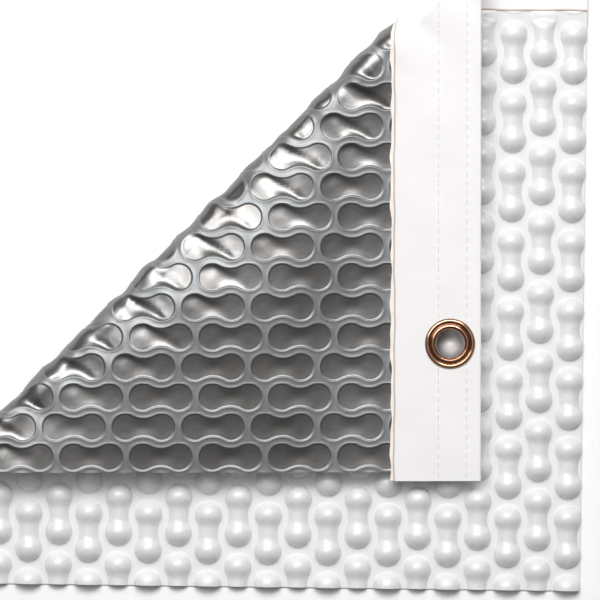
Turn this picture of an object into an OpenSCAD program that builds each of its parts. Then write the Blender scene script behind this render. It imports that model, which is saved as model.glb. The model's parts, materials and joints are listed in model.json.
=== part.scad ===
// Corner of a pool solar blanket: a silver backing film bonded to a clear-white bubble film,
// hemmed along one edge with a folded tape, two seams and an eyelet, its corner folded over.
// The sheet lies with its silver side down. Each piece is drawn on the flat sheet, cut to the
// stretch of the sheet that it belongs to, and carried round the fold by on_stretch().

/* [Sheet] */
// Width of the film, along X
sheet_w = 316; // [300:1:340]
// Length of the sheet from the hem's outer edge to the cut edge, along Y
sheet_l = 321; // [305:1:345]
// Thickness of the silver backing film
silver_t = 0.3; // [0.2:0.05:0.4]
// Thickness of the bubble film between the bubbles
web_t = 0.3; // [0.2:0.05:0.4]

/* [Bubbles] */
// Pitch of the double bubbles along their length, along Y
bubble_pitch = 33.3; // [32.5:0.1:34]
// Pitch of the bubble columns, along X
column_pitch = 14.4; // [14.2:0.1:14.8]
// Radius of each lobe of a double bubble at the web
lobe_r = 6.5; // [6:0.1:6.6]
// Distance from a double bubble's middle to each lobe's centre
lobe_offset = 8.6; // [8:0.1:9]
// Height of a lobe above the web
lobe_h = 5.2; // [4:0.1:5.2]
// Half the width of a double bubble at its waist
waist_r = 4.6; // [4:0.1:5]
// Height of the waist above the web
waist_h = 4; // [3:0.1:4]
// Place of one double bubble's middle, from the film's left edge
bubble_x = 194.5; // [185:0.5:200]
// Place of the same double bubble's middle, from the hem's outer edge
bubble_y = 162; // [155:0.5:170]

/* [Hem] */
// Width of the hem
hem_w = 42; // [40:0.5:44]
// Thickness of one ply of the hem tape
tape_t = 0.6; // [0.5:0.05:0.8]
// Thickness of the tan backing strip under the tape
backing_t = 0.2; // [0.15:0.05:0.3]
// How far the backing strip shows past the tape's inner edge
backing_show = 1.4; // [0.8:0.1:2]
// How far the tape runs on past the film's left edge
tape_overhang = 4.3; // [2:0.1:6]
// Distance of the inner seam from the hem's outer edge
inner_seam = 20.6; // [19:0.2:22]
// Distance of the outer seam from the hem's outer edge
outer_seam = 7; // [6:0.2:8]
// Pitch of the stitches
stitch_pitch = 4.5; // [4:0.1:5]
// Diameter of the sewing thread
thread_d = 0.4; // [0.3:0.05:0.45]

/* [Eyelet] */
// Radius of the eyelet's hole
eyelet_r = 7; // [6.5:0.1:7.5]
// Outer radius of the eyelet's flange
flange_r = 12; // [11.5:0.1:12.5]
// Thickness of the eyelet's metal
eyelet_t = 0.6; // [0.4:0.05:0.7]
// Height of the flange's roll above the hem
roll_h = 1.7; // [1.4:0.1:2]
// Distance of the eyelet's centre from the hem's outer edge
eyelet_in = 15; // [14.5:0.1:15.5]
// Distance of the eyelet's centre from the tape's left end
eyelet_along = 66; // [60:1:80]

/* [Fold] */
// Angle of the fold from the X axis
fold_angle = 45.375; // [44:0.125:46]
// Where the middle of the fold crosses the hem's outer edge, from the film's left edge
crease_x = 264; // [262:0.5:266]
// Outer radius of the rolled fold
fold_r = 9; // [8.8:0.1:9.4]
// Angle that the sheet turns through, a little over a half turn as the flap leans down
fold_turn = 182.4; // [181.8:0.1:182.4]

/* [Hidden] */
$fn = 48;
STRIPS = 2;
FLAP = STRIPS + 1;
KEYS = ["sheet", "fold_1", "fold_2", "flap"];

// Gaps between stretches of the sheet, so that neighbours never rub
GAP = 0.2;
BUBBLE_GAP = 1.8;
// Room round the eyelet's barrel, and between the film's edge and the tape
BARREL_ROOM = 0.15;
EDGE_ROOM = 0.1;
// Length of the film's step up to the hem, and of a single stitch
STEP = 2;
stitch_l = stitch_pitch - 0.8;
FAR = 900;

// Layers through the sheet, and through the hem, from the silver side
film_t = silver_t + web_t;
hem_lift = tape_t + backing_t;
hem_t = hem_lift + film_t + tape_t;
left = -sheet_w / 2;
top = sheet_l / 2;
hem_edge = top - hem_w;
step_start = hem_edge - backing_show - 1 - STEP;
step_end = step_start + STEP;

// The fold: hinges lie on the inner face of the film, evenly round the roll
hinge_turn = fold_turn / FLAP;
hinge_r = fold_r - film_t;
strip_w = 2 * hinge_r * tan(hinge_turn / 2);
crease_u = across([left + crease_x, top]);

// Distance of a point from the fold's own axis through the origin
function across(p) = p[0] * sin(fold_angle) - p[1] * cos(fold_angle);
// Distance along the fold
function along(p) = p[0] * cos(fold_angle) + p[1] * sin(fold_angle);
// Place of hinge k, from 1 beside the sheet to FLAP beside the flap
function hinge_u(k) = crease_u + (FLAP / 2 + 0.5 - k) * strip_w;
// The X place at which a line along the hem crosses the line across() = u
function hem_cross(u, y) = (u + y * cos(fold_angle)) / sin(fold_angle);

// Turns to the fold's own axes: X across the fold, Y along it
module fold_axes() {
    rotate([0, 0, fold_angle - 90]) children();
}

// The part of space over stretch k of the flat sheet, held back at each hinge and mitred above
// it, where the neighbours lean together as the sheet folds
module stretch(k) {
    low = k == FLAP ? -FAR : hinge_u(k + 1) + GAP;
    high = k == 0 ? FAR : hinge_u(k) - GAP;
    height = 3;
    mitre = height * tan(hinge_turn / 2);
    fold_axes() rotate([90, 0, 0]) linear_extrude(height = 2 * FAR, center = true)
        polygon([[low, -5], [high, -5], [high, film_t], [high - mitre, film_t + height],
            [low + mitre, film_t + height], [low, film_t]]);
}

// Turns its children about hinge k by the hinge's share of the fold
module hinge(k) {
    fold_axes() translate([hinge_u(k), 0, film_t]) rotate([0, hinge_turn, 0])
        translate([-hinge_u(k), 0, -film_t]) rotate([0, 0, 90 - fold_angle]) children();
}

// Carries its children from the flat sheet to where stretch k of the folded sheet lies
module on_stretch(k) {
    if (k == 0) children();
    else on_stretch(k - 1) hinge(k) children();
}

// A layer of the sheet: an outline in Y and Z run along X
module run(points, from, to) {
    translate([from, 0, 0]) rotate([90, 0, 90]) linear_extrude(height = to - from)
        polygon(points);
}

// A film's outline: flat over the sheet, stepping up between the plies of the hem
function film_outline(z, t) = [
    [-top, z], [step_start, z], [step_end, z + hem_lift], [top - tape_t - EDGE_ROOM, z + hem_lift],
    [top - tape_t - EDGE_ROOM, z + hem_lift + t], [step_end, z + hem_lift + t],
    [step_start, z + t], [-top, z + t]
];

// The hole that the eyelet's barrel passes through
module eyelet_place() {
    translate([left - tape_overhang + eyelet_along, top - eyelet_in, 0]) children();
}
module barrel_hole(k) {
    if (k == FLAP) eyelet_place() translate([0, 0, -5])
        cylinder(r = eyelet_r + eyelet_t + BARREL_ROOM, h = 20);
}

module silver_film(k) {
    color("silver") on_stretch(k) difference() {
        intersection() {
            run(film_outline(0, silver_t), left, -left);
            stretch(k);
        }
        barrel_hole(k);
    }
}

// A spherical or cylindrical crown that is h high where it is 2 r wide at the web
function crown_r(r, h) = (r * r + h * h) / (2 * h);

module bubble() {
    lobe = crown_r(lobe_r, lobe_h);
    waist = crown_r(waist_r, waist_h);
    for (side = [-1, 1])
        translate([0, side * lobe_offset, film_t + lobe_h - lobe]) sphere(r = lobe);
    translate([0, lobe_offset, film_t + waist_h - waist]) rotate([90, 0, 0])
        cylinder(r = waist, h = 2 * lobe_offset);
}

// Whether a whole bubble at p fits on stretch k, clear of its hinge, the hem and the cut edges
function bubble_fits(k, p) =
    let (end = lobe_offset + lobe_r, u = [across([p[0], p[1] - lobe_offset]),
        across([p[0], p[1] + lobe_offset])])
    abs(p[0]) < sheet_w / 2 - lobe_r - 0.5
    && p[1] + end < step_start - 0.5 && p[1] - end > -top + 0.5
    && (k == 0 ? min(u) > hinge_u(1) + lobe_r + BUBBLE_GAP
        : max(u) < hinge_u(FLAP) - lobe_r - BUBBLE_GAP);

// Middles of every double bubble: alternate columns sit a quarter of a pitch further along
function bubble_places(k) = [
    for (i = [-14 : 10], j = [-6 : 10])
        let (p = [left + bubble_x + i * column_pitch,
            top - bubble_y + (i % 2 == 0 ? 0 : bubble_pitch / 4) + j * bubble_pitch])
        if (bubble_fits(k, p)) p
];

module bubble_film(k) {
    color("white") on_stretch(k) difference() {
        union() {
            intersection() {
                run(film_outline(silver_t, web_t), left, -left);
                stretch(k);
            }
            if (k == 0 || k == FLAP) intersection() {
                for (p = bubble_places(k)) translate(p) bubble();
                translate([left, -top, silver_t]) cube([sheet_w, sheet_l, 20]);
            }
        }
        barrel_hole(k);
    }
}

// The thread's path sinks into a groove on each face of the hem
module seam_grooves(y) {
    groove = thread_d + 0.05;
    for (z = [-1, hem_t - groove])
        translate([left - 20, top - y - groove / 2, z])
            cube([sheet_w + 40, groove, groove + (z < 0 ? 1 : 0.2)]);
}

module hem_tape(k) {
    inner = top - tape_t;
    color("whitesmoke") on_stretch(k) difference() {
        intersection() {
            run([[hem_edge, 0], [top, 0], [top, hem_t], [hem_edge, hem_t],
                [hem_edge, hem_t - tape_t], [inner, hem_t - tape_t], [inner, tape_t],
                [hem_edge, tape_t]], left - tape_overhang, -left);
            stretch(k);
        }
        seam_grooves(inner_seam);
        seam_grooves(outer_seam);
        barrel_hole(k);
    }
}

module hem_backing(k) {
    low = hem_edge - backing_show;
    color("tan") on_stretch(k) difference() {
        intersection() {
            run([[low, tape_t], [top - tape_t - EDGE_ROOM, tape_t],
                [top - tape_t - EDGE_ROOM, hem_lift], [low, hem_lift]],
                left - tape_overhang, -left);
            stretch(k);
        }
        barrel_hole(k);
    }
}

// Middles of the stitches on stretch k, clear of the mitres at its hinges
function stitch_places(k, y) =
    let (line = top - y, start = left - tape_overhang + 1,
        mitre = GAP + (hem_t - film_t) * tan(hinge_turn / 2) + thread_d / 2,
        reach = stitch_l / 2 + mitre / sin(fold_angle),
        from = k == FLAP ? start + stitch_l / 2 : hem_cross(hinge_u(k + 1), line) + reach,
        to = k == 0 ? -left - 1 - stitch_l / 2 : hem_cross(hinge_u(k), line) - reach,
        hole = [left - tape_overhang + eyelet_along, top - eyelet_in])
    [for (x = [from : stitch_pitch : to])
        if (k != FLAP || norm([x, line] - hole) > flange_r) [x, line]];

// Lockstitches: the needle thread on the silver side, the bobbin thread on the other
module seam(k, y) {
    color("gainsboro") on_stretch(k) for (p = stitch_places(k, y), z = [0, hem_t - thread_d])
        translate([p[0] - stitch_l / 2, p[1], z + thread_d / 2]) rotate([0, 90, 0])
            cylinder(d = thread_d, h = stitch_l);
}

// The eyelet's barrel, its rolled flange on the silver side and its rim turned over the washer
module eyelet() {
    mid = (eyelet_r + flange_r) / 2;
    half = (flange_r - eyelet_r) / 2;
    washer_top = hem_t + eyelet_t;
    color("peru") on_stretch(FLAP) eyelet_place() difference() {
        union() {
            rotate_extrude() translate([mid, 0]) intersection() {
                translate([0, half * half / roll_h / 2 - roll_h / 2])
                    circle(r = (half * half + roll_h * roll_h) / (2 * roll_h));
                translate([-half, -roll_h]) square([2 * half, roll_h]);
            }
            translate([0, 0, -0.1])
                cylinder(r = eyelet_r + eyelet_t, h = washer_top + eyelet_t + 0.1);
            translate([0, 0, washer_top]) cylinder(r = eyelet_r + 2.4, h = eyelet_t);
        }
        translate([0, 0, -5]) cylinder(r = eyelet_r, h = 20);
    }
}

module washer() {
    color("peru") on_stretch(FLAP) eyelet_place() difference() {
        translate([0, 0, hem_t]) cylinder(r = flange_r, h = eyelet_t);
        cylinder(r = eyelet_r + eyelet_t + BARREL_ROOM, h = 20);
    }
}

for (k = [0 : FLAP]) {
    key = KEYS[k];
    silver_film(k);
    bubble_film(k);
    hem_tape(k);
    hem_backing(k);
    seam(k, inner_seam);
    seam(k, outer_seam);
}
eyelet();  // flap_eyelet
washer();  // flap_eyelet_washer
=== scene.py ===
import json
import math

import bmesh
import bpy
import numpy as np
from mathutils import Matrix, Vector


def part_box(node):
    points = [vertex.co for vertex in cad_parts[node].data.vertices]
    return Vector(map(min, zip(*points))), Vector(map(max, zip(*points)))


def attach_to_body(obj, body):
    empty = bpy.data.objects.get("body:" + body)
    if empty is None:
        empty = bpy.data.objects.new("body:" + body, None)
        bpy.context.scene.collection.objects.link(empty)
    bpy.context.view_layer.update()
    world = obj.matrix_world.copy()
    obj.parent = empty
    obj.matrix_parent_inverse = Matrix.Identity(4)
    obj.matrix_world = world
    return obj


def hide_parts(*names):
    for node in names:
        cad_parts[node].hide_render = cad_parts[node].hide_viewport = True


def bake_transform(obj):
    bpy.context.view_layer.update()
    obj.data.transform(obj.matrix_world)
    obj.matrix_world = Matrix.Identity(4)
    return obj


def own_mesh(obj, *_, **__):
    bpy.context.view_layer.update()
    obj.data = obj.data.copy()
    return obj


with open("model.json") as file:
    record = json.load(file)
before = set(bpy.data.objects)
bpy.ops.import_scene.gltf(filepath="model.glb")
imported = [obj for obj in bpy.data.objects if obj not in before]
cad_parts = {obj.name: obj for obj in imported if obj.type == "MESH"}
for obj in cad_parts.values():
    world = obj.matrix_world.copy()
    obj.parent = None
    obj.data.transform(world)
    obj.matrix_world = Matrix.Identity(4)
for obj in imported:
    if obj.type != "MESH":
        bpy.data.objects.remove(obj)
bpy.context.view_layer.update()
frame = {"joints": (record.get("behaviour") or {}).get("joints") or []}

# Everything is worked out in millimetres on the flat sheet, where X runs along the hem, Y towards
# it and h up through the layers from the silver side, and is then carried round the fold.

# ---------------------------------------------------------------- the blanket's own sizes
SILVER_T = 0.3
BUBBLE_T = 0.28
# both films where they are welded
FILM_T = 0.6
BUBBLE_PITCH = 33.3
COLUMN_PITCH = 14.4
BUBBLE_X = 194.5
BUBBLE_Y = 162.0
LOBE_R = 6.5
LOBE_AT = 8.6
LOBE_H = 5.2
WAIST_H = 3.3
# how far the curves of a lobe and the waist run into each other
DOME_BLEND = 0.35
# centre and radius of the arcs that join a bubble's two lobes, so that its waist is 9.2 wide
ARC_AT = 18.51
ARC_R = 13.91
# a recess: how much wider than its bubble it is, its rim, its bowl, and the line round it
RECESS_WIDER = 0.36
RIM_DEPTH = 0.34
BOWL_DEPTH = 0.25
WAIST_BOWL_DEPTH = 0.24
LIP_H = 0.17
LIP_W = 0.5
BUCKLE_DEPTH = 0.75
# from the silver film's inner face to the bubble film's outer one, and more over bent recesses
FILM_GAP = 0.33
BENT_GAP = 0.45
HEM_W = 42.0
TAPE_T = 0.6
HEM_LIFT = 0.8
HEM_T = 2.0
BACKING_SHOW = 1.4
INNER_SEAM = 20.6
OUTER_SEAM = 7.0
STITCH = 4.5
THREAD_R = 0.17
STITCH_DIP = 0.34
EYELET_ALONG = 66.0
EYELET_IN = 15.0
EYELET_R = 7.0
BARREL_T = 0.75
FLANGE_R = 12.0
# how far the tape runs on past the film's end, and the backing inside it
TAPE_PAST = 4.3
BACKING_INSIDE = 0.2
# play between the films and the bend of the tape
PLAY = 0.1


def mm(point):
    return np.array(point, float) * 1000


film_low, film_high = [mm(p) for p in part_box("sheet_silver_film")]
tape_high = mm(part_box("sheet_hem_tape")[1])
RIGHT = film_high[0]
LEFT = -RIGHT
TOP = tape_high[1]
BOTTOM = film_low[1]
TAPE_LEFT = LEFT - TAPE_PAST
BACKING_LEFT = TAPE_LEFT + BACKING_INSIDE
HEM_EDGE = TOP - HEM_W
STEP_END = HEM_EDGE - BACKING_SHOW - 1.0
STEP_START = STEP_END - 9.0
FILM_END = TOP - TAPE_T - PLAY

# ---------------------------------------------------------------- the fold, from its hinges
hinges = [mm(j["pos_m"]) for j in frame["joints"]]
ALONG = -np.array(frame["joints"][0]["axis"], float)
ACROSS = np.array([ALONG[1], -ALONG[0], 0.0])
HINGE_TURN = math.radians(frame["joints"][0]["range_deg"][1])
TURN = len(hinges) * HINGE_TURN
strip_w = np.linalg.norm(hinges[1] - hinges[0])
FOLD_R = strip_w / 2 / math.tan(HINGE_TURN / 2) + hinges[0][2]
crease = float(hinges[0] @ ACROSS) - strip_w
NEUTRAL_DEPTH = 0.4
FOLD_LEN = TURN * (FOLD_R - NEUTRAL_DEPTH)
FOLD_START = crease + FOLD_LEN / 2
PIECES = ["main", "bend_1", "bend_2", "bend_3", "flap"]
CUTS = [FOLD_LEN * k / 3 for k in range(4)]

# ---------------------------------------------------------------- the silver film's slack
BULGE_SLOPE = 0.26
BULGE_REACH = 13.0
BULGE_FADE = (22.0, 125.0)
CREASE_H = 0.3
CREASE_W = 1.5
SLACK = 1.6
SLACK_EVERYWHERE = 0.2
SLACK_AT = -55.0
SLACK_REACH = 105.0


def smooth(x, low, high):
    t = np.clip((x - low) / (high - low), 0, 1)
    return t * t * (3 - 2 * t)


def along_sheet(x, y):
    """How far a point of the flat sheet lies past the start of the fold."""
    return FOLD_START - (x * ACROSS[0] + y * ACROSS[1])


def unevenness(s, v):
    """How far the folded sheet stands out from its even shape."""
    roll = smooth(s, 2, FOLD_LEN / 2) * (1 - smooth(s, FOLD_LEN * 0.8, FOLD_LEN + 26))
    wave = 0.5 * np.sin(v * 2 * math.pi / 23.5 + 1.0)
    wave += 0.35 * np.sin(v * 2 * math.pi / 37.0 + 2.2)
    wave += 0.16 * np.sin(v * 2 * math.pi / 11.3)
    # the stiff hem holds the roll a little wider
    wave += 0.9 * smooth(v, 55, 105) - 0.45
    return roll * wave


def bulge(s, v, x, y):
    """How far the silver film stands off the bubbles, mostly just past the fold."""
    rise = np.clip(s - FOLD_LEN + 7, 0, 10)
    past = np.clip(s - FOLD_LEN - 3, 0, None)
    up = rise ** 3 / 100 - rise ** 4 / 2000 + BULGE_REACH * (1 - np.exp(-past / BULGE_REACH))
    up = BULGE_SLOPE * up * (1 - smooth(past, *BULGE_FADE))
    up = up * (0.15 + 0.85 * smooth(v, -125, -30)) * (1 - 0.6 * smooth(v, 40, 95))
    # soft creases along the fold
    crease_at = FOLD_LEN - 4 + 2.2 * np.sin(v / 15 + 1) + 1.2 * np.sin(v / 6.3)
    crease_h = CREASE_H * (0.6 + 0.4 * np.sin(v / 9.1))
    up = up + crease_h * np.exp(-((s - crease_at) / CREASE_W) ** 2)
    # the rest of it isn't quite flat either
    slack = 0.26 * np.sin(v / 10.5 + s / 17.0) + 0.22 * np.sin(v / 17.0 - s / 11.0 + 2)
    # and it is slackest in the flap's middle
    from_middle = (x - SLACK_AT) / SLACK_REACH
    fade = np.where(from_middle < 0, 1 - from_middle ** 2,
                    0.5 + 0.5 * np.cos(math.pi * np.clip(from_middle, 0, 1)))
    slack += SLACK_EVERYWHERE + SLACK * np.clip(fade, 0, 1)
    up = up + slack * smooth(s, FOLD_LEN - 4, FOLD_LEN + 20)
    return up * (1 - smooth(y, HEM_EDGE - 55, STEP_START + 4))


def fold(points, loose=False):
    """Carries flat points (x, y, h) round the fold, and gives them in the row frame."""
    x, y, h = points.T
    s = along_sheet(x, y)
    v = x * ALONG[0] + y * ALONG[1]
    if loose:
        h = h - bulge(s, v, x, y)
    turn = np.clip(s / FOLD_LEN, 0, 1) * TURN
    rest = np.where(s < 0, s, np.maximum(s - FOLD_LEN, 0))
    r = FOLD_R - h + unevenness(s, v)
    u = FOLD_START - r * np.sin(turn) - rest * np.cos(turn)
    z = FOLD_R - r * np.cos(turn) + rest * np.sin(turn)
    out = np.outer(u, ACROSS) + np.outer(v, ALONG)
    out[:, 2] = z
    return out


# ---------------------------------------------------------------- one double bubble
X0 = LEFT + BUBBLE_X
Y0 = TOP - BUBBLE_Y


def in_cell(x, y):
    """Place of each point from the middle of the double bubble that it belongs to."""
    column = np.round((x - X0) / COLUMN_PITCH)
    shift = np.where(column % 2 == 0, 0.0, BUBBLE_PITCH / 4)
    dy = y - Y0 - shift
    return x - X0 - column * COLUMN_PITCH, dy - np.round(dy / BUBBLE_PITCH) * BUBBLE_PITCH


def edge_distance(dx, dy):
    """Distance outside a double bubble's outline, negative inside it."""
    ax, ay = np.abs(dx), np.abs(dy)
    lobe = np.hypot(ax, ay - LOBE_AT) - LOBE_R
    waist = ARC_R - np.hypot(ax - ARC_AT, ay)
    return np.where(ax / ARC_AT + ay / LOBE_AT < 1, waist, lobe)


def crown(r, width, height):
    """Height of a round crown at r from its middle."""
    radius = (width ** 2 + height ** 2) / (2 * height)
    return np.sqrt(np.maximum(radius ** 2 - r ** 2, 0)) - (radius - height)


def dome(dx, dy):
    """Height of a double bubble above the web."""
    ay = np.abs(dy)
    lobe = crown(np.hypot(dx, ay - LOBE_AT), LOBE_R, LOBE_H)
    half = ARC_AT - np.sqrt(ARC_R ** 2 - np.minimum(ay, LOBE_AT) ** 2)
    waist = crown(dx, half, WAIST_H) * (1 - smooth(ay, 4.5, 8.6))
    waist = np.where(ay > LOBE_AT, -1, waist)
    mix = np.clip(0.5 + (lobe - waist) / (2 * DOME_BLEND), 0, 1)
    height = waist + (lobe - waist) * mix + DOME_BLEND * mix * (1 - mix)
    return np.where(edge_distance(dx, dy) < -1e-6, np.maximum(height, 0), 0)


def recess_edge(dx, dy):
    """Distance outside a recess, which is a little wider than its bubble except at the waist."""
    return edge_distance(dx, dy) - RECESS_WIDER * smooth(np.abs(dy), 1.5, 7)


def dish(dx, dy):
    """Depth of the silver film's recess under a double bubble, gentler at the waist."""
    inside = np.maximum(-recess_edge(dx, dy), 0)
    waist = 1 - smooth(np.abs(dy), 1.5, 7)
    bowl = (BOWL_DEPTH + WAIST_BOWL_DEPTH * waist) * smooth(inside, 0.1, 4.6)
    return RIM_DEPTH * smooth(inside, 0, 0.85) + bowl


def lip(dx, dy):
    """Height of the raised line that runs round a recess."""
    outside = recess_edge(dx, dy)
    return LIP_H * np.exp(-((outside - 0.2) / LIP_W) ** 2)


def buckle(dx, dy):
    """Depth of the slanting crease in a recess near the fold: first steep, then gentle."""
    inside = np.maximum(-recess_edge(dx, dy), 0)
    past = 0.6 - 0.55 * dy - 0.83 * dx
    across = smooth(past, -1.9, 0.5) * (1 - smooth(past, 0.5, 8.5))
    return BUCKLE_DEPTH * smooth(inside, 0, 2.6) * across


# ---------------------------------------------------------------- meshes on the flat sheet
def cell_patch(n_long, n_short, outer, inner):
    """One bubble's patch: rings from its rectangle, through its outline, to its spine."""
    half_x, half_y = COLUMN_PITCH / 2, BUBBLE_PITCH / 2
    up = np.linspace(-half_y, half_y, n_long + 1)[:-1]
    across = np.linspace(-half_x, half_x, n_short + 1)[:-1]
    ring = [(half_x, y) for y in up] + [(-x, half_y) for x in across]
    ring += [(-half_x, -y) for y in up] + [(x, -half_y) for x in across]
    border = np.array(ring)
    size = np.abs(border)
    sign = np.where(border < 0, -1.0, 1.0)
    on_waist = size[:, 0] / ARC_AT + size[:, 1] / LOBE_AT < 1
    arc = size - [ARC_AT, 0]
    arc_point = [ARC_AT, 0] + ARC_R * arc / np.linalg.norm(arc, axis=1)[:, None]
    lobe = size - [0, LOBE_AT]
    lobe_point = [0, LOBE_AT] + LOBE_R * lobe / np.linalg.norm(lobe, axis=1)[:, None]
    outline = np.where(on_waist[:, None], arc_point, lobe_point)
    spine_y = np.where(on_waist, outline[:, 1] * ARC_AT / (ARC_AT - outline[:, 0]), LOBE_AT)
    spine = np.stack([np.zeros(len(ring)), spine_y], axis=1) * sign
    outline = outline * sign
    rings = [outline + g * (border - outline) for g in outer]
    rings += [spine + f * (outline - spine) for f in inner]
    count = len(ring)
    points = np.concatenate(rings)
    here = np.arange(count)
    after = (here + 1) % count
    faces = []
    for k in range(len(rings) - 1):
        a, b = k * count, (k + 1) * count
        faces.append(np.stack([a + here, a + after, b + after, b + here], axis=1))
    return points, np.concatenate(faces)


def cells_mesh(patch, s_from, s_to):
    """Bubble patches over the part of the film from s_from to s_to, joined into one flat mesh."""
    points, faces = patch
    all_points, all_faces = [], []
    total = 0
    # enough columns and rows to cover the film, with half a patch to spare
    half_x, half_y = COLUMN_PITCH / 2, BUBBLE_PITCH / 2
    for i in range(-15, 11):
        for j in range(-7, 11):
            x = X0 + i * COLUMN_PITCH
            y = Y0 + j * BUBBLE_PITCH + (0 if i % 2 == 0 else BUBBLE_PITCH / 4)
            if abs(x) > RIGHT + half_x + 1 or not BOTTOM - half_y - 1 < y < TOP + half_y + 1:
                continue
            s = along_sheet(x, y)
            if not s_from - half_y - 2 < s < s_to + half_y + 2:
                continue
            all_points.append(points + [x, y])
            all_faces.append(faces + total)
            total += len(points)
    return joined(np.concatenate(all_points), np.concatenate(all_faces))


def joined(points, faces):
    """A bmesh of these flat points and faces, with points at one place made one."""
    key = np.round(points * 2000).astype(np.int64)
    _, first, same = np.unique(key, axis=0, return_index=True, return_inverse=True)
    points = points[first]
    bm = bmesh.new()
    verts = [bm.verts.new((x, y, 0)) for x, y in points.tolist()]
    for face in same.ravel()[faces].tolist():
        loop = list(dict.fromkeys(face))
        if len(loop) > 2:
            bm.faces.new([verts[i] for i in loop])
    return bm


def trim(bm, point, outward, keep=False):
    """Cuts a bmesh along a plane, and drops what lies beyond it unless keep is true."""
    bmesh.ops.bisect_plane(
        bm, geom=bm.verts[:] + bm.edges[:] + bm.faces[:], dist=1e-5,
        plane_co=point, plane_no=outward, clear_outer=not keep)


def cut_hole(bm, centre, radius, sides=32):
    """Cuts a round hole through a flat mesh."""
    centre = Vector((centre[0], centre[1], 0))
    normals = []
    for k in range(sides):
        turn = 2 * math.pi * k / sides
        normals.append(Vector((math.cos(turn), math.sin(turn), 0)))
    for normal in normals:
        near = [f for f in bm.faces if (f.calc_center_median() - centre).length < radius * 1.7]
        parts = set(near)
        parts.update(v for f in near for v in f.verts)
        parts.update(e for f in near for e in f.edges)
        bmesh.ops.bisect_plane(bm, geom=list(parts), dist=1e-5,
                               plane_co=centre + radius * normal, plane_no=normal)
    inside = []
    for f in bm.faces:
        at = f.calc_center_median() - centre
        if at.length < radius * 1.1 and all(at.dot(n) < radius for n in normals):
            inside.append(f)
    bmesh.ops.delete(bm, geom=inside, context="FACES")


def arrays(bm):
    bm.verts.index_update()
    points = np.array([v.co[:] for v in bm.verts], float).reshape(-1, 3)
    faces = [[v.index for v in f.verts] for f in bm.faces]
    return points, faces


def shell(bm, lower, upper):
    """A closed sheet: lower and upper give the two faces of the flat mesh, which is used up."""
    points, faces = arrays(bm)
    bm.free()
    count = len(points)
    edges = {}
    for face in faces:
        for a, b in zip(face, face[1:] + face[:1]):
            edges[(a, b)] = 1
    rims = [[b + count, a + count, a, b] for a, b in edges if (b, a) not in edges]
    solid = np.concatenate([lower(points[:, 0], points[:, 1]), upper(points[:, 0], points[:, 1])])
    polys = [face[::-1] for face in faces] + [[i + count for i in face] for face in faces] + rims
    sides = [0] * len(faces) + [1] * len(faces) + [2] * len(rims)
    return solid, polys, sides


def cut_at_fold(solid, polys, sides, cuts):
    """Cuts a closed flat solid where its pieces meet in the fold."""
    bm = bmesh.new()
    side = bm.faces.layers.int.new("side")
    verts = [bm.verts.new(p) for p in solid.tolist()]
    for poly, which in zip(polys, sides):
        face = bm.faces.new([verts[i] for i in poly])
        face[side] = which
    for cut in cuts:
        trim(bm, Vector(ACROSS * (FOLD_START - cut)), Vector(ACROSS), keep=True)
    points, faces = arrays(bm)
    sides = [f[side] for f in bm.faces]
    bm.free()
    return points, faces, sides


def face_normals(points, polys):
    """Area-weighted normal of each polygon."""
    out = np.zeros((len(polys), 3))
    sizes = np.array([len(p) for p in polys])
    for n in np.unique(sizes):
        rows = np.flatnonzero(sizes == n)
        corner = points[np.array([polys[i] for i in rows])]
        origin = corner[:, :1]
        arm = corner - origin
        out[rows] = np.cross(arm[:, 1:-1], arm[:, 2:]).sum(axis=1) / 2
    return out


def in_recess(x, y):
    """1 well inside a double bubble's outline, 0 outside it."""
    return smooth(-recess_edge(*in_cell(x, y)), 0.05, 1.0)


def make_pieces(layer, flat, material, first=0, last=4, loose=False, mark=in_recess):
    """Folds a layer's closed solid and makes its pieces, first to last of PIECES."""
    solid, polys, sides = flat
    cuts = CUTS[first:last]
    points, polys, sides = cut_at_fold(solid, polys, sides, cuts)
    world = fold(points, loose)
    weight = face_normals(world, polys)
    sides = np.array(sides)
    corner_vert = np.concatenate([np.array(p) for p in polys])
    corner_face = np.repeat(np.arange(len(polys)), [len(p) for p in polys])
    key = corner_vert * 2 + (sides[corner_face] == 1)
    smooth_normal = np.zeros((len(world) * 2, 3))
    on_side = sides[corner_face] < 2
    np.add.at(smooth_normal, key[on_side], weight[corner_face[on_side]])
    corner_normal = np.where(on_side[:, None], smooth_normal[key], weight[corner_face])
    length = np.linalg.norm(corner_normal, axis=1)[:, None]
    corner_normal = corner_normal / np.maximum(length, 1e-12)
    s = along_sheet(points[:, 0], points[:, 1])
    face_s = np.bincount(corner_face, s[corner_vert]) / np.bincount(corner_face)
    place = np.clip(np.searchsorted(CUTS, face_s), first, last)
    starts = np.concatenate([[0], np.cumsum([len(p) for p in polys])])
    made = {}
    for k, name in enumerate(PIECES):
        chosen = np.flatnonzero(place == k)
        if len(chosen) == 0:
            continue
        loops = np.concatenate([np.arange(starts[i], starts[i + 1]) for i in chosen])
        used, local = np.unique(corner_vert[loops], return_inverse=True)
        local = local.ravel()
        normals = corner_normal[loops]
        sizes = [starts[i + 1] - starts[i] for i in chosen]
        offsets = np.concatenate([[0], np.cumsum(sizes)])
        faces = [local[a:b].tolist() for a, b in zip(offsets[:-1], offsets[1:])]
        faces, normals = capped(world[used], faces, normals)
        piece = new_mesh(layer + "_" + name, world[used] / 1000, faces, normals, material)
        flat_at = piece.data.attributes.new("flat", "FLOAT_VECTOR", "POINT")
        flat_at.data.foreach_set("vector", (points[used] / 1000).astype(np.float32).ravel())
        write_mark(piece, mark(points[used, 0], points[used, 1]))
        made[name] = piece
    return made


def write_mark(piece, values):
    """Stores a number from 0 to 1 at each point, for the piece's material to read."""
    mark_at = piece.data.attributes.new("mark", "FLOAT", "POINT")
    mark_at.data.foreach_set("value", values.astype(np.float32))


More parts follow.
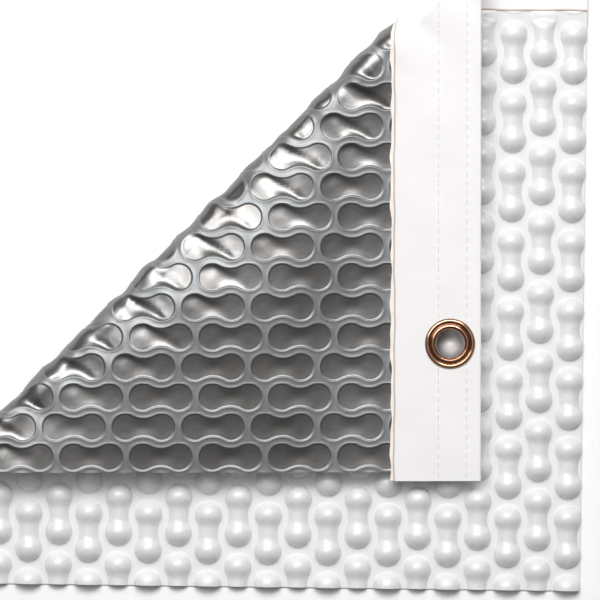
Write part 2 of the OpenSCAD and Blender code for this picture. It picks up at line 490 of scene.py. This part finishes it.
def capped(points, faces, normals):
    """Closes a piece where it was cut from its neighbours."""
    edges = set()
    for face in faces:
        edges.update(zip(face, face[1:] + face[:1]))
    follow = {}
    for a, b in edges:
        if (b, a) not in edges:
            follow[b] = a
    caps = []
    while follow:
        start, at = follow.popitem()
        loop = [start]
        while at != start and at in follow:
            loop.append(at)
            at = follow.pop(at)
        if at == start and len(loop) > 2:
            caps.append(loop)
    extra = [normals]
    for loop, normal in zip(caps, face_normals(points, caps)):
        normal = normal / max(np.linalg.norm(normal), 1e-12)
        extra.append(np.repeat(normal[None], len(loop), axis=0))
    return faces + caps, np.concatenate(extra)


def new_mesh(name, points, faces, normals, material):
    mesh = bpy.data.meshes.new(name)
    mesh.from_pydata(points.tolist(), [], faces)
    mesh.shade_smooth()
    if normals is not None:
        mesh.normals_split_custom_set(normals.tolist())
    mesh.materials.append(material)
    piece = bpy.data.objects.new(name, mesh)
    bpy.context.scene.collection.objects.link(piece)
    return piece


def fold_point(turn, r=5.0):
    """A point r mm from the middle of the fold, in metres, at an angle round it."""
    middle = ALONG * float(hinges[1] @ ALONG)
    at = ACROSS * (FOLD_START - r * math.sin(turn)) + middle
    at[2] = FOLD_R - r * math.cos(turn)
    return tuple(at / 1000)


def attach(made, layer):
    """Puts a layer's main and flap pieces on their bodies, leaves its bend pieces fixed where they
    lie, and lets the pieces stand for the layer's CAD nodes.
    """
    for name, piece in made.items():
        if name.startswith("bend"):
            k = int(name[-1])
            fold_point((k - 1) * HINGE_TURN)
            fold_point(k * HINGE_TURN)
            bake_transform(piece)
            if k < 3:
                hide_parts("fold_%d_%s" % (k, layer))
        else:
            body = "sheet" if name == "main" else "flap"
            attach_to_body(piece, body)
            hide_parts(body + "_" + layer)


# ---------------------------------------------------------------- materials
def material(name):
    made = bpy.data.materials.new(name)
    made.use_nodes = True
    tree = made.node_tree
    return made, tree.nodes, tree.links, tree.nodes["Principled BSDF"]


def flat_coordinates(nodes):
    node = nodes.new("ShaderNodeAttribute")
    node.attribute_name = "flat"
    return node.outputs["Vector"]


def marks(nodes):
    node = nodes.new("ShaderNodeAttribute")
    node.attribute_name = "mark"
    return node.outputs["Fac"]


def noise(nodes, links, vector, scale, detail=3.0):
    node = nodes.new("ShaderNodeTexNoise")
    node.inputs["Scale"].default_value = scale
    node.inputs["Detail"].default_value = detail
    links.new(vector, node.inputs["Vector"])
    return node.outputs["Fac"]


def ramp(nodes, links, factor, low, high, colours):
    node = nodes.new("ShaderNodeValToRGB")
    node.color_ramp.elements[0].position = low
    node.color_ramp.elements[1].position = high
    node.color_ramp.elements[0].color = (*colours[0], 1)
    node.color_ramp.elements[1].color = (*colours[1], 1)
    links.new(factor, node.inputs["Fac"])
    return node.outputs["Color"]


def mix_colour(nodes, links, factor, a, b):
    node = nodes.new("ShaderNodeMix")
    node.data_type = "RGBA"
    links.new(factor, node.inputs["Factor"])
    links.new(a, node.inputs["A"])
    links.new(b, node.inputs["B"])
    return node.outputs["Result"]


def map_range(nodes, links, value, low, high, to_low, to_high):
    node = nodes.new("ShaderNodeMapRange")
    node.inputs["From Min"].default_value = low
    node.inputs["From Max"].default_value = high
    node.inputs["To Min"].default_value = to_low
    node.inputs["To Max"].default_value = to_high
    links.new(value, node.inputs["Value"])
    return node.outputs["Result"]


def bump(nodes, links, height, strength, distance, shader, before=None):
    node = nodes.new("ShaderNodeBump")
    node.inputs["Strength"].default_value = strength
    node.inputs["Distance"].default_value = distance
    links.new(height, node.inputs["Height"])
    if before is not None:
        links.new(before, node.inputs["Normal"])
    links.new(node.outputs["Normal"], shader.inputs["Normal"])
    return node.outputs["Normal"]


def silver_material():
    made, nodes, links, shader = material("silver_film")
    at = flat_coordinates(nodes)
    inside = marks(nodes)
    cloud = noise(nodes, links, at, 35, 4)
    web = ramp(nodes, links, cloud, 0.3, 0.7, [(0.25, 0.254, 0.258), (0.30, 0.308, 0.312)])
    dished = ramp(nodes, links, cloud, 0.3, 0.7, [(0.20, 0.192, 0.185), (0.25, 0.248, 0.246)])
    links.new(mix_colour(nodes, links, inside, web, dished), shader.inputs["Base Color"])
    links.new(map_range(nodes, links, inside, 0, 1, 0.46, 0.32), shader.inputs["Roughness"])
    links.new(map_range(nodes, links, inside, 0, 1, 0.7, 0.93), shader.inputs["Metallic"])
    shader.inputs["Specular IOR Level"].default_value = 0.5
    grain = noise(nodes, links, at, 2600, 2)
    first = bump(nodes, links, grain, 0.10, 0.0001, shader)
    ripple = noise(nodes, links, at, 120, 2)
    bump(nodes, links, ripple, 0.3, 0.0006, shader, first)
    return made


def bubble_material():
    made, nodes, links, shader = material("bubble_film")
    at = flat_coordinates(nodes)
    cloud = noise(nodes, links, at, 30, 3)
    colour = ramp(nodes, links, cloud, 0.3, 0.7, [(0.87, 0.875, 0.88), (0.90, 0.905, 0.91)])
    links.new(colour, shader.inputs["Base Color"])
    haze = noise(nodes, links, at, 400, 2)
    links.new(map_range(nodes, links, haze, 0.3, 0.7, 0.27, 0.36), shader.inputs["Roughness"])
    shader.inputs["Subsurface Weight"].default_value = 0.25
    shader.inputs["Subsurface Radius"].default_value = (1.0, 1.0, 1.0)
    shader.inputs["Subsurface Scale"].default_value = 0.003
    shader.inputs["Coat Weight"].default_value = 0.25
    shader.inputs["Coat Roughness"].default_value = 0.22
    ripple = noise(nodes, links, at, 150, 2)
    bump(nodes, links, ripple, 0.12, 0.0004, shader)
    return made


def weave(nodes, links, at, scale):
    """Height of a plain weave: two crossed sets of threads."""
    parts = []
    for direction in ("X", "Y"):
        node = nodes.new("ShaderNodeTexWave")
        node.wave_type = "BANDS"
        node.bands_direction = direction
        node.inputs["Scale"].default_value = scale
        node.inputs["Distortion"].default_value = 0.4
        node.inputs["Detail"].default_value = 1
        links.new(at, node.inputs["Vector"])
        parts.append(node.outputs["Fac"])
    both = nodes.new("ShaderNodeMath")
    both.operation = "MULTIPLY"
    links.new(parts[0], both.inputs[0])
    links.new(parts[1], both.inputs[1])
    return both.outputs["Value"]


def tape_material():
    made, nodes, links, shader = material("hem_tape")
    at = flat_coordinates(nodes)
    cloud = noise(nodes, links, at, 40, 4)
    white = ramp(nodes, links, cloud, 0.3, 0.75, [(0.86, 0.845, 0.84), (0.91, 0.895, 0.89)])
    # tan is painted shadow: a thin line along the tape's inner edge, where the edge stands over
    # the backing
    tan = ramp(nodes, links, cloud, 0.3, 0.75, [(0.46, 0.36, 0.30), (0.58, 0.48, 0.42)])
    links.new(mix_colour(nodes, links, marks(nodes), white, tan), shader.inputs["Base Color"])
    shader.inputs["Roughness"].default_value = 0.55
    shader.inputs["Sheen Weight"].default_value = 0.15
    first = bump(nodes, links, weave(nodes, links, at, 330), 0.12, 0.00012, shader)
    bump(nodes, links, cloud, 0.25, 0.0012, shader, first)
    return made


def backing_material():
    made, nodes, links, shader = material("hem_backing")
    at = flat_coordinates(nodes)
    cloud = noise(nodes, links, at, 160, 4)
    colour = ramp(nodes, links, cloud, 0.3, 0.7, [(0.86, 0.78, 0.72), (0.96, 0.91, 0.87)])
    links.new(colour, shader.inputs["Base Color"])
    shader.inputs["Roughness"].default_value = 0.85
    bump(nodes, links, weave(nodes, links, at, 420), 0.3, 0.0001, shader)
    return made


def thread_material():
    made, nodes, links, shader = material("thread")
    where = nodes.new("ShaderNodeTexCoord").outputs["Object"]
    twist = nodes.new("ShaderNodeTexWave")
    twist.bands_direction = "DIAGONAL"
    twist.inputs["Scale"].default_value = 900
    links.new(where, twist.inputs["Vector"])
    colour = ramp(nodes, links, twist.outputs["Fac"], 0.1, 0.9,
                  [(0.76, 0.74, 0.73), (0.87, 0.86, 0.85)])
    links.new(colour, shader.inputs["Base Color"])
    shader.inputs["Roughness"].default_value = 0.6
    bump(nodes, links, twist.outputs["Fac"], 0.4, 0.0001, shader)
    return made


def eyelet_material():
    made, nodes, links, shader = material("eyelet")
    where = nodes.new("ShaderNodeTexCoord").outputs["Object"]
    cloud = noise(nodes, links, where, 220, 4)
    bright = ramp(nodes, links, cloud, 0.35, 0.7, [(0.80, 0.46, 0.29), (0.90, 0.60, 0.42)])
    dark = ramp(nodes, links, cloud, 0.35, 0.7, [(0.24, 0.10, 0.05), (0.34, 0.15, 0.08)])
    links.new(mix_colour(nodes, links, marks(nodes), bright, dark), shader.inputs["Base Color"])
    worn = noise(nodes, links, where, 900, 3)
    links.new(map_range(nodes, links, worn, 0.3, 0.7, 0.08, 0.16), shader.inputs["Roughness"])
    shader.inputs["Metallic"].default_value = 1.0
    bump(nodes, links, worn, 0.05, 0.0001, shader)
    return made


SILVER = silver_material()
BUBBLE = bubble_material()
TAPE = tape_material()
BACKING = backing_material()
THREAD = thread_material()
EYELET = eyelet_material()

# ---------------------------------------------------------------- the two films
# bounds along the sheet that take in all of it on one side of the fold
FAR = 400
eyelet_at = (TAPE_LEFT + EYELET_ALONG, TOP - EYELET_IN)
BARREL_HOLE = EYELET_R + BARREL_T


def lift(y):
    """How far the films step up between the plies of the hem."""
    return HEM_LIFT * smooth(y, STEP_START, STEP_END)


def silver_low(x, y):
    dx, dy = in_cell(x, y)
    s = along_sheet(x, y)
    depth = dish(dx, dy)
    # on the roll the recesses are pulled flatter, and just past it they are pulled into troughs
    depth = depth * (1 - 0.6 * smooth(s, -2, 4) * (1 - smooth(s, FOLD_LEN - 6, FOLD_LEN + 4)))
    # the troughs are shorter towards the fold's lower end
    end = 1 - smooth(x * ALONG[0] + y * ALONG[1], -115, -55)
    near = smooth(s, FOLD_LEN * 0.6, FOLD_LEN)
    near = near * (1 - smooth(s - FOLD_LEN, 12 - 12 * end, 40 - 24 * end))
    depth = depth + buckle(dx, dy) * near - lip(dx, dy) * smooth(s, 1, 8)
    depth = depth * (1 - smooth(y, HEM_EDGE - 0.6, HEM_EDGE + 0.8))
    return np.stack([x, y, lift(y) + depth], axis=1)


def silver_high(x, y):
    out = silver_low(x, y)
    out[:, 2] += SILVER_T
    return out


def dome_height(x, y):
    dx, dy = in_cell(x, y)
    s = along_sheet(x, y)
    crushed = 1 - 0.4 * smooth(s, -8, 4) * (1 - smooth(s, FOLD_LEN - 4, FOLD_LEN + 8))
    pressed = 1 - smooth(y, STEP_END - 6, STEP_END - 1)
    raised = FILM_T + lift(y) + dome(dx, dy) * crushed * pressed
    silver = silver_high(x, y)[:, 2]
    # from the fold on, the bubble film keeps well clear of the silver film's recesses
    recessed = smooth(silver - lift(y) - SILVER_T, 0.04, 0.4)
    return np.maximum(raised, silver + FILM_GAP + BENT_GAP * recessed * smooth(s, -3, 1))


def bubble_high(x, y):
    return np.stack([x, y, dome_height(x, y)], axis=1)


def bubble_low(x, y):
    step = 0.05
    slope_x = (dome_height(x + step, y) - dome_height(x - step, y)) / (2 * step)
    slope_y = (dome_height(x, y + step) - dome_height(x, y - step)) / (2 * step)
    length = np.sqrt(1 + slope_x ** 2 + slope_y ** 2)
    out = bubble_high(x, y)
    out[:, 0] += BUBBLE_T * slope_x / length
    out[:, 1] += BUBBLE_T * slope_y / length
    out[:, 2] -= BUBBLE_T / length
    return out


def film(patch, s_from, s_to):
    """The film's flat mesh from s_from to s_to, inside the sheet's outline."""
    bm = cells_mesh(patch, s_from, s_to)
    trim(bm, (LEFT, 0, 0), (-1, 0, 0))
    trim(bm, (RIGHT, 0, 0), (1, 0, 0))
    trim(bm, (0, BOTTOM, 0), (0, -1, 0))
    trim(bm, (0, FILM_END, 0), (0, 1, 0))
    if s_from > -FAR:
        trim(bm, Vector(ACROSS * (FOLD_START - s_from)), Vector(ACROSS))
        cut_hole(bm, eyelet_at, BARREL_HOLE)
    if s_to < FAR:
        trim(bm, Vector(ACROSS * (FOLD_START - s_to)), Vector(-ACROSS))
    return bm


FINE = cell_patch(24, 10, [1, 0.66, 0.42, 0.24, 0.1],
                  [1, 0.97, 0.93, 0.88, 0.81, 0.7, 0.52, 0.28, 0])
BROAD = cell_patch(16, 6, [1, 0.3], [1, 0.9, 0.7, 0.35, 0])
DOMES = cell_patch(28, 8, [1, 0.2], [1, 0.975, 0.92, 0.84, 0.72, 0.56, 0.36, 0.16, 0])
UNDER = cell_patch(24, 10, [1, 0.6, 0.3, 0.1], [1, 0.96, 0.84, 0.6, 0.3, 0])

silver = make_pieces("silver_film", shell(film(FINE, 0, FAR), silver_low, silver_high),
                     SILVER, 1, 4, loose=True)
silver.update(make_pieces("silver_film", shell(film(BROAD, -FAR, 0), silver_low, silver_high),
                          SILVER, 0, 0))
attach(silver, "silver_film")
# the flap's silver film gets a mesh of its own. A plane just below the sheet is worked out too,
# since the bubble film's waves dip that far, where the slack film would lie pressed flat under the
# bubbles when the corner is laid open; nothing here presses it there
PRESSED_TO = 0.2
flap_up = ACROSS * -math.sin(TURN) + [0, 0, -math.cos(TURN)]
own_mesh(silver["flap"], "corner_fold", axis=tuple(flap_up), keep=0.12,
          anchor=fold_point(TURN, FOLD_R + PRESSED_TO))
bubbles = make_pieces("bubble_film", shell(film(UNDER, 0, FAR), bubble_low, bubble_high),
                      BUBBLE, 1, 4)
bubbles.update(make_pieces("bubble_film", shell(film(DOMES, -FAR, 0), bubble_low, bubble_high),
                           BUBBLE, 0, 0))
attach(bubbles, "bubble_film")


# ---------------------------------------------------------------- the hem: tape, backing, seams
BEND_R = HEM_T / 2
PLY = HEM_W - BEND_R
BEND_LEN = math.pi * (BEND_R - TAPE_T / 2)


def edge_wave(x):
    """The tape's inner edge isn't cut quite straight."""
    return 0.16 * np.sin(x / 7.3) + 0.1 * np.sin(x / 2.9 + 1) + 0.12 * np.sin(x / 19.0)


def sunk(x, y, inner=INNER_SEAM, outer=OUTER_SEAM):
    """How far the tape is drawn in: a groove at each seam, puckered at each stitch."""
    out = np.zeros(len(x))
    for seam, pull in ((inner, 0.5), (outer, 1)):
        off = y - (TOP - seam)
        pucker = 1 - 0.45 * np.cos(2 * math.pi * (x - TAPE_LEFT) / STITCH)
        out += 0.13 * pull * pucker * np.exp(-(off / 0.8) ** 2)
        out += 0.07 * pull * pucker * np.exp(-(off / 2.6) ** 2)
    return out


def tape_surface(offset):
    """The tape at a depth of offset below its outer face: x along it, p across its width."""
    def place(x, p):
        first = p < PLY
        last = p > PLY + BEND_LEN
        turn = np.clip((p - PLY) / BEND_LEN, 0, 1) * math.pi
        across = np.where(last, 2 * PLY + BEND_LEN - p, p)
        y = np.where(first | last, HEM_EDGE + across, TOP - BEND_R)
        y = y + (BEND_R - offset) * np.sin(turn)
        h = BEND_R - (BEND_R - offset) * np.cos(turn)
        away = np.clip(1 - across / 6, 0, 1)
        y = y + edge_wave(x) * np.where(first | last, away, 0)
        h = h + sunk(x, y) * np.where(last, -1, np.where(first, 1, 0))
        return np.stack([x, y, h], axis=1)
    return place


def tape_mesh():
    rows = [0, 0.3, 0.6, 0.9, 1.5, 4, 7, 10, 13, 16, 18]
    seams = [HEM_W - INNER_SEAM, HEM_W - OUTER_SEAM]
    for seam in seams:
        rows += [seam + d for d in (-3, -1.8, -1.1, -0.6, -0.25, 0, 0.25, 0.6, 1.1, 1.8, 3)]
    rows += [27.5, 30.5, 39.5]
    ply = np.array(sorted(r for r in rows if r < PLY - 0.2))
    bend = PLY + np.linspace(0, 1, 13) * BEND_LEN
    across = np.concatenate([ply, bend, 2 * PLY + BEND_LEN - ply[::-1]])
    along = np.linspace(TAPE_LEFT, RIGHT, 1 + round((RIGHT - TAPE_LEFT) / (STITCH / 4)))
    return grid(along, across)


def grid(along, across):
    """A flat mesh of rows and columns."""
    nx, ny = len(along), len(across)
    points = np.stack(np.meshgrid(along, across, indexing="ij"), axis=-1).reshape(-1, 2)
    i, j = np.meshgrid(np.arange(nx - 1), np.arange(ny - 1), indexing="ij")
    a = (i * ny + j).ravel()
    return joined(points, np.stack([a, a + ny, a + ny + 1, a + 1], axis=1))


tape = tape_mesh()
cut_hole(tape, (eyelet_at[0], eyelet_at[1] - HEM_EDGE), BARREL_HOLE)
cut_hole(tape, (eyelet_at[0], 2 * PLY + BEND_LEN - (eyelet_at[1] - HEM_EDGE)), BARREL_HOLE)


def tape_edge_painted_shadow(x, y):
    """1 at the tape's inner edge, where a thin tan line of painted shadow runs along it, and 0 a
    little way in.
    """
    return 1 - smooth(y - HEM_EDGE - edge_wave(x), 0.3, 0.95)


tape_pieces = make_pieces("hem_tape", shell(tape, tape_surface(0), tape_surface(TAPE_T)), TAPE,
                          mark=tape_edge_painted_shadow)
attach(tape_pieces, "hem_tape")


def backing_face(height):
    def place(x, y):
        show = np.clip((HEM_EDGE - y) / BACKING_SHOW, 0, 1)
        y = y + show * (0.28 * np.sin(x / 3.7) + 0.2 * np.sin(x / 1.9 + 2) + 0.25 * np.sin(x / 11))
        return np.stack([x, y, height + 0 * x], axis=1)
    return place


backing = grid(np.linspace(BACKING_LEFT, RIGHT, 321),
               np.array([HEM_EDGE - BACKING_SHOW, HEM_EDGE - 0.7, HEM_EDGE, HEM_EDGE + 6,
                         HEM_EDGE + 16, HEM_EDGE + 26, HEM_EDGE + 36, FILM_END]))
cut_hole(backing, eyelet_at, BARREL_HOLE)
backing_pieces = make_pieces(
    "hem_backing", shell(backing, backing_face(TAPE_T + 0.01), backing_face(HEM_LIFT - 0.01)),
    BACKING)
attach(backing_pieces, "hem_backing")


def stitch_tube(x, y, face):
    """One stitch: a short thread that dips into the tape at both ends."""
    steps = np.linspace(-1, 1, 9)
    sides = 8
    half = STITCH * 0.48
    points = []
    for t in steps:
        dip = STITCH_DIP * abs(t) ** 6
        r = THREAD_R * (1 if abs(t) < 0.99 else 0.5)
        for k in range(sides):
            turn = 2 * math.pi * k / sides
            out = r * math.sin(turn) - dip + 0.1
            points.append((x + t * half, y + r * math.cos(turn), out))
    points = np.array(points)
    depth = points[:, 2] - sunk(points[:, 0], points[:, 1]) * 0.8
    points[:, 2] = np.where(face == 0, -depth, HEM_T + depth)
    faces = []
    for ring in range(len(steps) - 1):
        for k in range(sides):
            a = ring * sides + k
            b = ring * sides + (k + 1) % sides
            quad = [a, b, b + sides, a + sides]
            faces.append(quad if face == 1 else quad[::-1])
    ends = [list(range(sides - 1, -1, -1)), [(len(steps) - 1) * sides + k for k in range(sides)]]
    faces += [end if face == 1 else end[::-1] for end in ends]
    return points, faces


def seam_pieces(layer, seam):
    """All of a seam's stitches, each on the piece that its middle is on."""
    y = TOP - seam
    groups = {}
    count = int((RIGHT - TAPE_LEFT - 2) / STITCH)
    for n in range(count):
        x = TAPE_LEFT + STITCH * (n + 0.75)
        if math.hypot(x - eyelet_at[0], y - eyelet_at[1]) < FLANGE_R - 0.5:
            continue
        name = PIECES[int(np.searchsorted(CUTS, along_sheet(x, y)))]
        for face in (0, 1):
            groups.setdefault(name, []).append(stitch_tube(x, y, face))
    made = {}
    for name, tubes in groups.items():
        points, faces, total = [], [], 0
        for tube_points, tube_faces in tubes:
            points.append(tube_points)
            faces += [[i + total for i in f] for f in tube_faces]
            total += len(tube_points)
        world = fold(np.concatenate(points)) / 1000
        made[name] = new_mesh(layer + "_" + name, world, faces, None, THREAD)
    return made


attach(seam_pieces("inner_seam", INNER_SEAM), "inner_seam")
attach(seam_pieces("outer_seam", OUTER_SEAM), "outer_seam")


# ---------------------------------------------------------------- the eyelet
def lathe(name, profile, steps=128):
    """Turns a closed outline of (radius, h) round the eyelet's axis, where the flap holds it."""
    profile = np.array(profile)
    count = len(profile)
    turns = np.linspace(0, 2 * math.pi, steps, endpoint=False)
    points = []
    for turn in turns:
        x = eyelet_at[0] + profile[:, 0] * math.cos(turn)
        y = eyelet_at[1] + profile[:, 0] * math.sin(turn)
        points.append(np.stack([x, y, profile[:, 1]], axis=1))
    flat = np.concatenate(points)
    arm = 20
    centre, along, up = fold(np.array([[*eyelet_at, 0.0], [eyelet_at[0] + arm, eyelet_at[1], 0.0],
                                       [eyelet_at[0], eyelet_at[1] + arm, 0.0]]))
    x_dir = (along - centre) / np.linalg.norm(along - centre)
    h_dir = np.cross(x_dir, up - centre)
    h_dir = h_dir / np.linalg.norm(h_dir)
    y_dir = np.cross(h_dir, x_dir)
    local = flat - [*eyelet_at, 0]
    world = centre + np.outer(local[:, 0], x_dir) + np.outer(local[:, 1], y_dir)
    world += np.outer(local[:, 2], h_dir)
    faces = []
    for i in range(steps):
        for j in range(count):
            a = i * count + j
            b = i * count + (j + 1) % count
            c = ((i + 1) % steps) * count + (j + 1) % count
            d = ((i + 1) % steps) * count + j
            faces.append([a, b, c, d])
    piece = new_mesh(name, world / 1000, faces, None, EYELET)
    # the metal has darkened in its grooves and round its rim
    r = np.hypot(local[:, 0], local[:, 1])
    dark = np.exp(-((r - 9.85) / 0.55) ** 2) + 0.9 * smooth(r, 11.3, 11.9)
    dark += 0.75 * np.exp(-((r - 7.9) / 0.35) ** 2) + 0.25
    write_mark(piece, np.clip(dark, 0, 1))
    return piece


def curve_through(points, each=5):
    """A smooth closed outline through these points."""
    points = np.array(points, float)
    out = []
    count = len(points)
    for i in range(count):
        p0, p1, p2, p3 = [points[(i + k) % count] for k in (-1, 0, 1, 2)]
        for t in np.linspace(0, 1, each, endpoint=False):
            out.append(0.5 * (2 * p1 + (p2 - p0) * t + (2 * p0 - 5 * p1 + 4 * p2 - p3) * t ** 2
                              + (3 * p1 - p0 - 3 * p2 + p3) * t ** 3))
    return out


barrel = lathe("eyelet_barrel", curve_through([
    (12.0, -0.12), (11.95, -0.55), (11.4, -1.15), (10.7, -1.3), (10.1, -1.05), (9.75, -0.8),
    (9.4, -0.95), (9.0, -1.35), (8.4, -1.62), (7.7, -1.45), (7.15, -0.9), (7.0, 0.0),
    (7.0, 1.6), (7.05, 2.7), (7.5, 3.15), (8.4, 3.2), (9.2, 2.95), (9.3, 2.65),
    (8.4, 2.68), (7.75, 2.5), (7.55, 1.5), (7.55, 0.3), (8.0, -0.4), (8.5, -1.0),
    (9.1, -0.6), (9.7, -0.25), (10.4, -0.5), (10.9, -0.7), (11.5, -0.3), (11.8, -0.06)]))
washer = lathe("eyelet_washer", curve_through([
    (7.8, 2.05), (8.6, 2.03), (10.2, 2.02), (11.6, 2.02), (12.0, 2.12), (11.9, 2.35),
    (11.2, 2.6), (10.2, 2.62), (9.2, 2.56), (8.2, 2.55), (7.8, 2.45)], 4))
for turned, node in ((barrel, "flap_eyelet"), (washer, "flap_eyelet_washer")):
    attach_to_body(turned, "flap")
    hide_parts(node)

# ---------------------------------------------------------------- floor, light and camera
floor_mesh = bpy.data.meshes.new("floor")
floor_mesh.from_pydata([(-3, -3, 0), (3, -3, 0), (3, 3, 0), (-3, 3, 0)], [], [(0, 1, 2, 3)])
floor = bpy.data.objects.new("floor", floor_mesh)
floor.location.z = -0.0002
bpy.context.scene.collection.objects.link(floor)
floor_material, _, _, floor_shader = material("floor")
floor_shader.inputs["Base Color"].default_value = (0.95, 0.95, 0.95, 1)
floor_shader.inputs["Roughness"].default_value = 0.9
floor_shader.inputs["Specular IOR Level"].default_value = 0.1
floor_mesh.materials.append(floor_material)


def soft_light(name, place, target, size, power):
    data = bpy.data.lights.new(name, "AREA")
    data.shape = "RECTANGLE"
    data.size, data.size_y = size
    data.energy = power
    light = bpy.data.objects.new(name, data)
    light.location = place
    light.rotation_euler = (Vector(target) - Vector(place)).to_track_quat("-Z", "Y").to_euler()
    bpy.context.scene.collection.objects.link(light)


soft_light("key", (0.1, 1.0, 1.5), (0, 0, 0), (1.6, 0.7), 23.9)
soft_light("corner", (-0.75, 0.65, 1.6), (0, 0, 0), (0.85, 0.85), 11)

# a studio that is lightest overhead, a little towards the key light
world = bpy.data.worlds.new("studio")
bpy.context.scene.world = world
world.use_nodes = True
sky, sky_links = world.node_tree.nodes, world.node_tree.links
sky_at = sky.new("ShaderNodeTexCoord")
towards = sky.new("ShaderNodeVectorMath")
towards.operation = "DOT_PRODUCT"
towards.inputs[1].default_value = (0, 0.45, 0.893)
sky_links.new(sky_at.outputs["Generated"], towards.inputs[0])
above = map_range(sky, sky_links, towards.outputs["Value"], 0, 1, 0, 1)
falling = sky.new("ShaderNodeMath")
falling.operation = "POWER"
falling.inputs[1].default_value = 4
sky_links.new(above, falling.inputs[0])
sky_links.new(map_range(sky, sky_links, falling.outputs["Value"], 0, 1, 0.07, 0.80),
              sky["Background"].inputs["Strength"])
sky["Background"].inputs["Color"].default_value = (1, 1, 1, 1)

camera_data = bpy.data.cameras.new("camera")
camera_data.lens = 375
camera_data.sensor_width = 36
camera = bpy.data.objects.new("camera", camera_data)
camera.location = (0.02163, -0.02220, 3.01)
camera.rotation_euler = (0, 0, math.radians(0.75))
camera_data.clip_end = 20
bpy.context.scene.collection.objects.link(camera)
bpy.context.scene.camera = camera
bpy.context.scene.view_settings.view_transform = "Standard"
